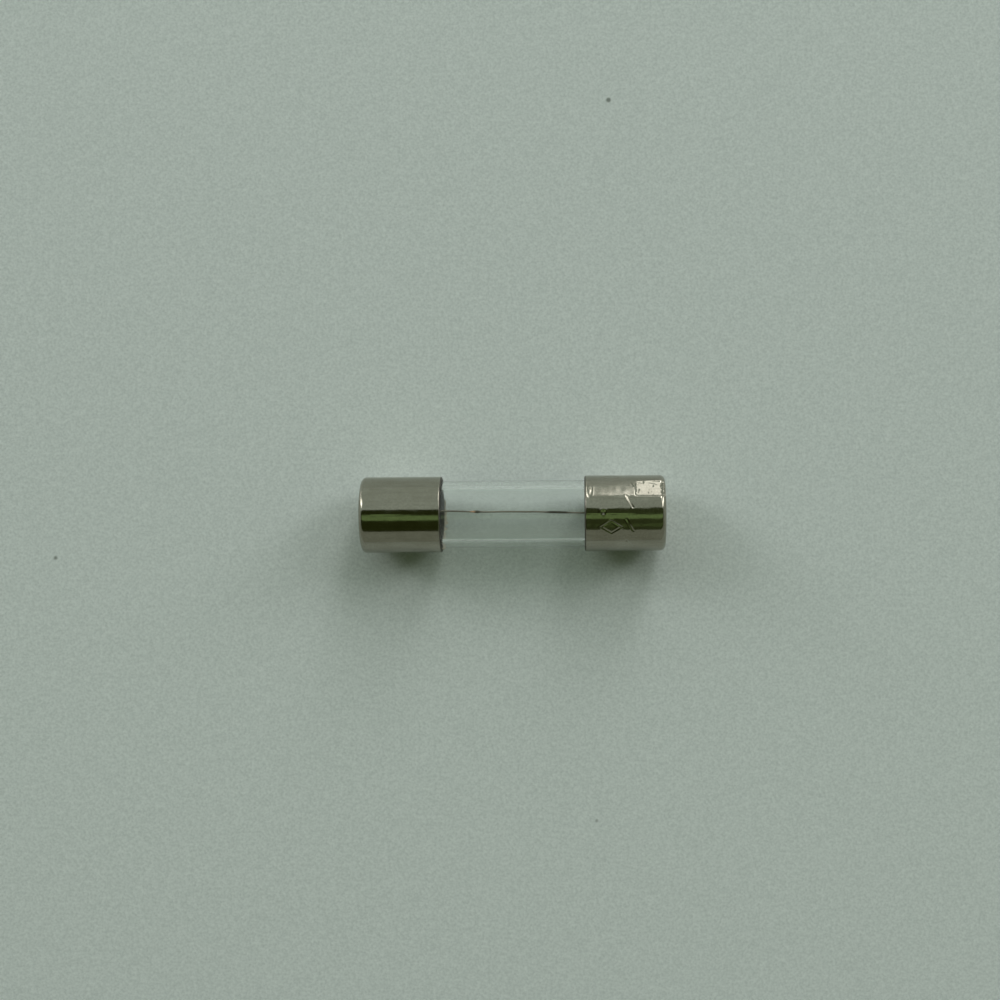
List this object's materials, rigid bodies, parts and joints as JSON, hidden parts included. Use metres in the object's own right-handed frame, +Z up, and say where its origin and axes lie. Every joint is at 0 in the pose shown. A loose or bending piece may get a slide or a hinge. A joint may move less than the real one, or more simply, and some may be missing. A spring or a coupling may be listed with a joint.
{
  "type": "cartridge fuse",
  "caption": "Miniature glass cartridge fuse: a clear glass tube with a fine fusible wire along its bore and a drawn, nickel-plated cap cemented on each end.",
  "frame": {"origin": "middle of the fuse, on its axis", "axes": "+X along the fuse's axis, +Z up; the fuse lies on its side with a flat facing -Z"},
  "size_m": [0.0204, 0.0052, 0.0052],
  "materials": {
    "nickel": "polished",
    "glass": "polished",
    "solder": "satin",
    "wire": "satin",
    "cement": "matte"
  },
  "bodies": {
    "root": {"glass_tube": "glass", "end_cap_left": "nickel", "end_cap_right": "nickel", "cap_cement_left": "cement", "cap_cement_right": "cement", "solder_left": "solder", "solder_right": "solder", "fuse_wire": "wire"}
  },
  "joints": []
}
